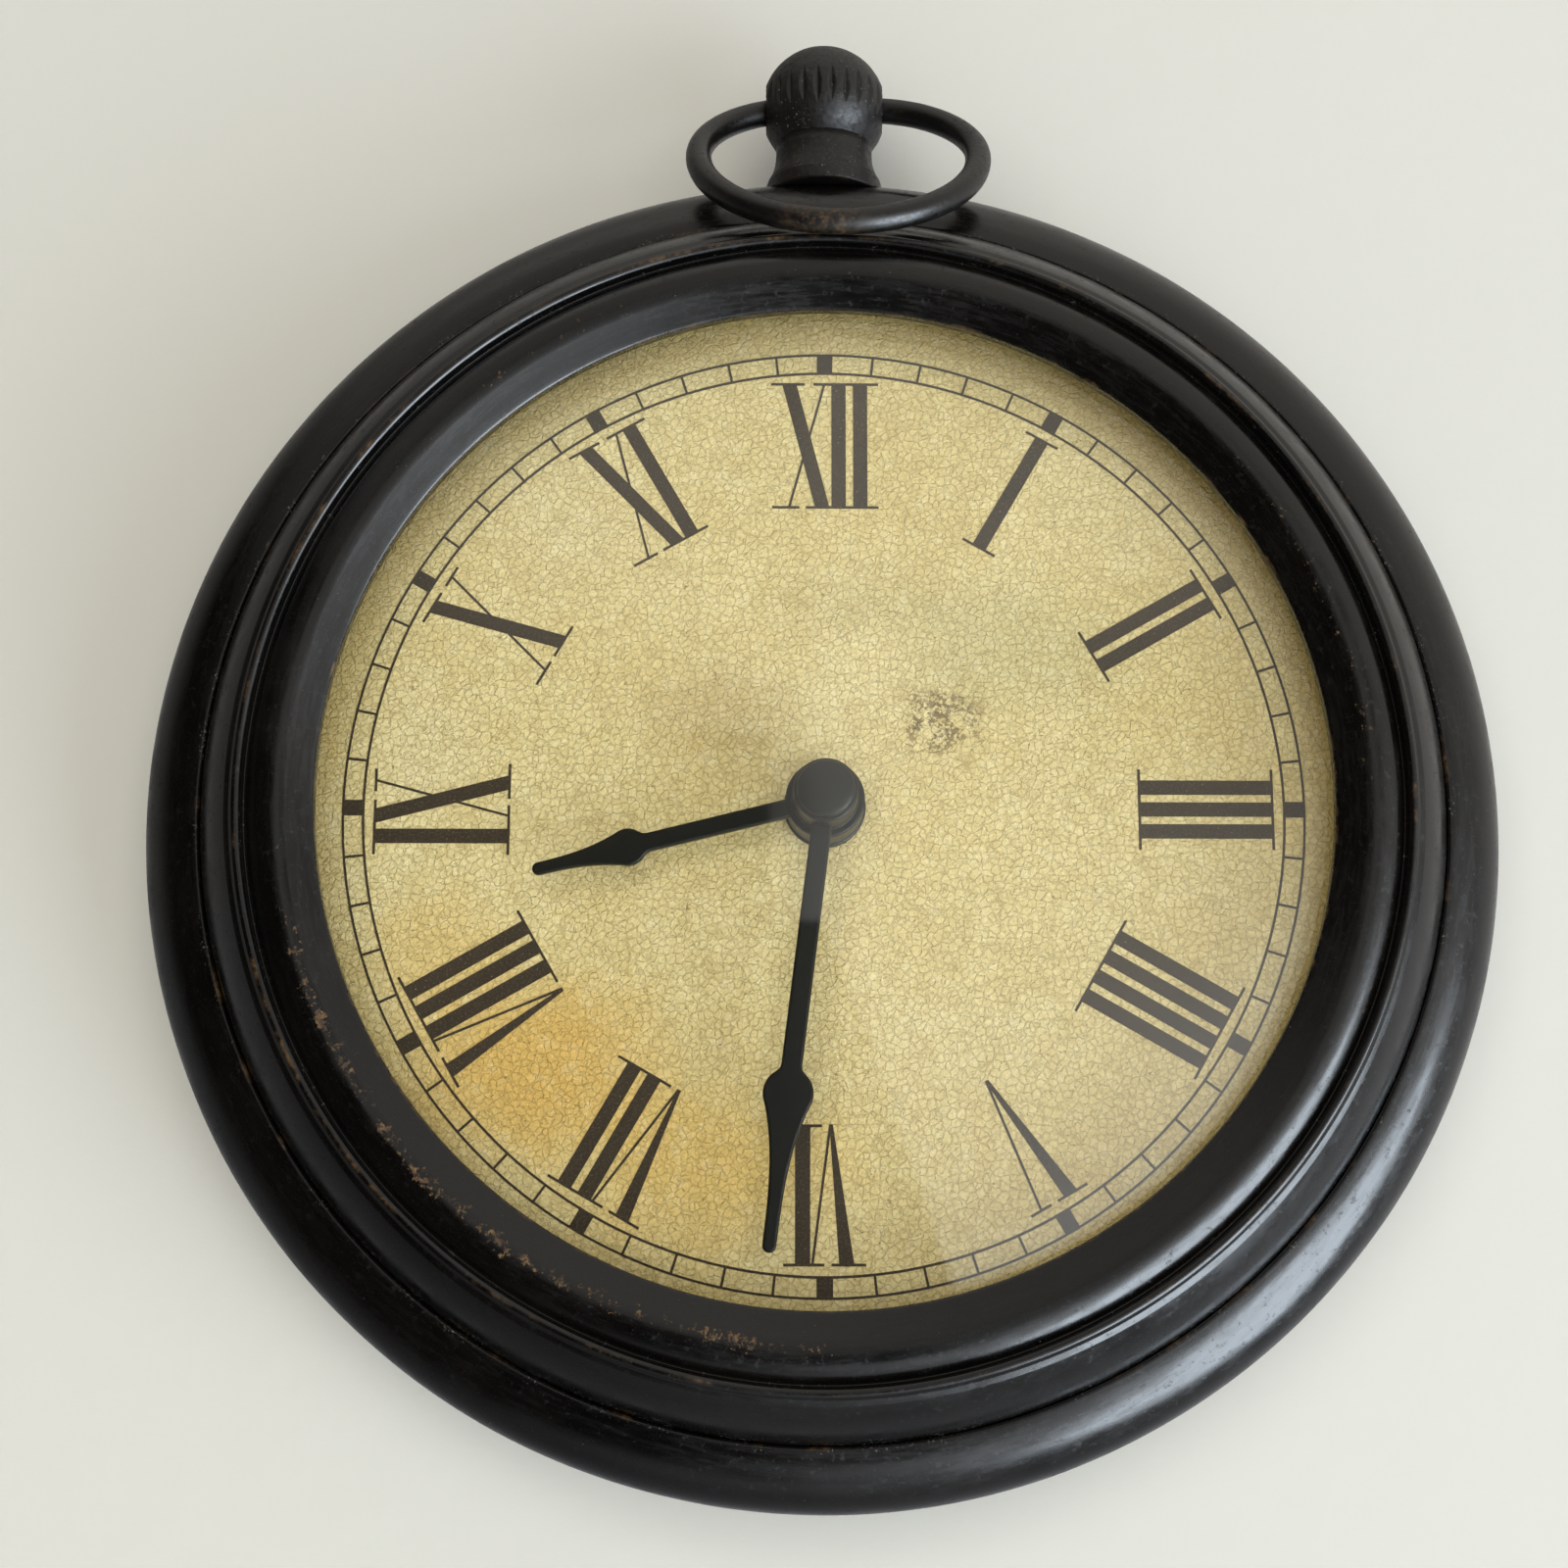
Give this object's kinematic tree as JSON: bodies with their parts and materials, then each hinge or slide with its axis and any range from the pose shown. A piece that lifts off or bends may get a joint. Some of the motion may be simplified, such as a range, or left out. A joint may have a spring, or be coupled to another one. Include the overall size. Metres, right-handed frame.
{
  "type": "pocket watch shaped wall clock",
  "caption": "Round quartz wall clock shaped like an open-faced pocket watch: spun case, stepped bezel, domed glass, paper dial, spade hands, and a crown with a swinging bow on top.",
  "frame": {"origin": "centre of the case's back rim, on the axis of the hands, in the plane of the wall", "axes": "+Z points to 12 o'clock, +Y points into the wall, so the dial faces -Y, and +X points to 3 o'clock"},
  "size_m": [0.163, 0.0356, 0.1815],
  "materials": {
    "case_shell": "satin",
    "bezel": "satin",
    "glass_lens": "polished",
    "glass_gasket": "matte",
    "glass_retainer": "matte",
    "dial_plate": "matte",
    "dial_paper": "matte",
    "dial_print": "matte",
    "dial_screws": "zinc plated",
    "back_cover": "satin",
    "back_cover_screws": "zinc plated",
    "hanger_plate": "zinc plated",
    "hanger_rivets": "plain",
    "pendant_neck": "satin",
    "crown": "satin",
    "bow": "satin, worn brown at its lowest point",
    "pendant_stud": "zinc plated",
    "pendant_washer": "zinc plated",
    "pendant_nut": "plain",
    "hour_hand": "satin",
    "minute_hand": "satin",
    "hand_cap": "satin",
    "movement_front_shell": "satin",
    "movement_rear_shell": "satin",
    "movement_screws": "zinc plated",
    "centre_bushing": "plain",
    "minute_shaft": "plain",
    "minute_work_wheel": "moulded",
    "hour_wheel": "moulded",
    "setting_knob": "moulded",
    "centre_wheel": "moulded",
    "third_wheel": "moulded",
    "seconds_wheel": "moulded",
    "intermediate_wheel": "moulded",
    "rotor_pinion": "moulded",
    "rotor_magnet": "sintered",
    "stator": "stamped",
    "coil_core": "stamped",
    "coil_bobbin": "moulded",
    "coil_winding": "enamelled copper wire",
    "circuit_board": "lacquered",
    "chip_cover": "resin",
    "quartz_crystal": "plain",
    "battery_cell": "printed foil sleeve",
    "positive_contact": "nickel plated",
    "negative_contact": "nickel plated"
  },
  "bodies": {
    "case": {"case_shell": "case_shell", "bezel": "bezel", "glass_lens": "glass_lens", "glass_gasket": "glass_gasket", "glass_retainer": "glass_retainer", "dial_plate": "dial_plate", "dial_paper": "dial_paper", "dial_print": "dial_print", "dial_screws": "dial_screws", "back_cover": "back_cover", "back_cover_screws": "back_cover_screws", "hanger_plate": "hanger_plate", "hanger_rivets": "hanger_rivets", "pendant_neck": "pendant_neck", "crown": "crown", "pendant_stud": "pendant_stud", "pendant_washer": "pendant_washer", "pendant_nut": "pendant_nut", "movement_front_shell": "movement_front_shell", "movement_rear_shell": "movement_rear_shell", "movement_screws": "movement_screws", "centre_bushing": "centre_bushing", "stator": "stator", "coil_core": "coil_core", "coil_bobbin": "coil_bobbin", "coil_winding": "coil_winding", "circuit_board": "circuit_board", "chip_cover": "chip_cover", "quartz_crystal": "quartz_crystal", "battery_cell": "battery_cell", "positive_contact": "positive_contact", "negative_contact": "negative_contact"},
    "bow": {"bow": "bow"},
    "minute": {"minute_shaft": "minute_shaft", "minute_hand": "minute_hand", "hand_cap": "hand_cap"},
    "hour": {"hour_wheel": "hour_wheel", "hour_hand": "hour_hand"},
    "minute_work": {"minute_work_wheel": "minute_work_wheel"},
    "setting": {"setting_knob": "setting_knob"},
    "seconds": {"seconds_wheel": "seconds_wheel"},
    "third": {"third_wheel": "third_wheel"},
    "centre": {"centre_wheel": "centre_wheel"},
    "intermediate": {"intermediate_wheel": "intermediate_wheel"},
    "rotor": {"rotor_pinion": "rotor_pinion", "rotor_magnet": "rotor_magnet"}
  },
  "joints": [
    {"name": "bow_hinge", "type": "hinge", "parent": "case", "child": "bow", "pos_m": [0, -0.015, 0.0926], "axis": [-1, 0, 0], "range_deg": [0, 166]},
    {"name": "minute_hand_turn", "type": "hinge", "parent": "case", "child": "minute", "pos_m": [0, -0.015, 0], "axis": [0, 1, 0], "continuous": true},
    {"name": "hour_hand_turn", "type": "hinge", "parent": "case", "child": "hour", "pos_m": [0, -0.016, 0], "axis": [0, 1, 0], "continuous": true},
    {"name": "minute_work_turn", "type": "hinge", "parent": "case", "child": "minute_work", "pos_m": [0, -0.015, 0.009], "axis": [0, 1, 0], "continuous": true},
    {"name": "setting_knob_turn", "type": "hinge", "parent": "case", "child": "setting", "pos_m": [-0.00779, -0.003, 0.0135], "axis": [0, 1, 0], "continuous": true},
    {"name": "seconds_turn", "type": "hinge", "parent": "case", "child": "seconds", "pos_m": [0, -0.009, 0], "axis": [0, 1, 0], "continuous": true},
    {"name": "third_turn", "type": "hinge", "parent": "case", "child": "third", "pos_m": [0.00736, -0.01, 0.00425], "axis": [0, 1, 0], "continuous": true},
    {"name": "centre_wheel_turn", "type": "hinge", "parent": "case", "child": "centre", "pos_m": [0, -0.012, 0], "axis": [0, 1, 0], "continuous": true},
    {"name": "intermediate_turn", "type": "hinge", "parent": "case", "child": "intermediate", "pos_m": [-0.00862, -0.007, -0.00152], "axis": [0, 1, 0], "continuous": true},
    {"name": "rotor_turn", "type": "hinge", "parent": "case", "child": "rotor", "pos_m": [-0.01426, -0.007, -0.00357], "axis": [0, 1, 0], "continuous": true}
  ],
  "couplings": [
    {"joint": "hour_hand_turn", "follows": "minute_hand_turn", "ratio": 0.083333},
    {"joint": "minute_work_turn", "follows": "minute_hand_turn", "ratio": -0.33333},
    {"joint": "setting_knob_turn", "follows": "minute_hand_turn", "ratio": 1},
    {"joint": "third_turn", "follows": "seconds_turn", "ratio": -0.13333},
    {"joint": "centre_wheel_turn", "follows": "seconds_turn", "ratio": 0.016667},
    {"joint": "intermediate_turn", "follows": "seconds_turn", "ratio": -6},
    {"joint": "rotor_turn", "follows": "seconds_turn", "ratio": 30}
  ]
}
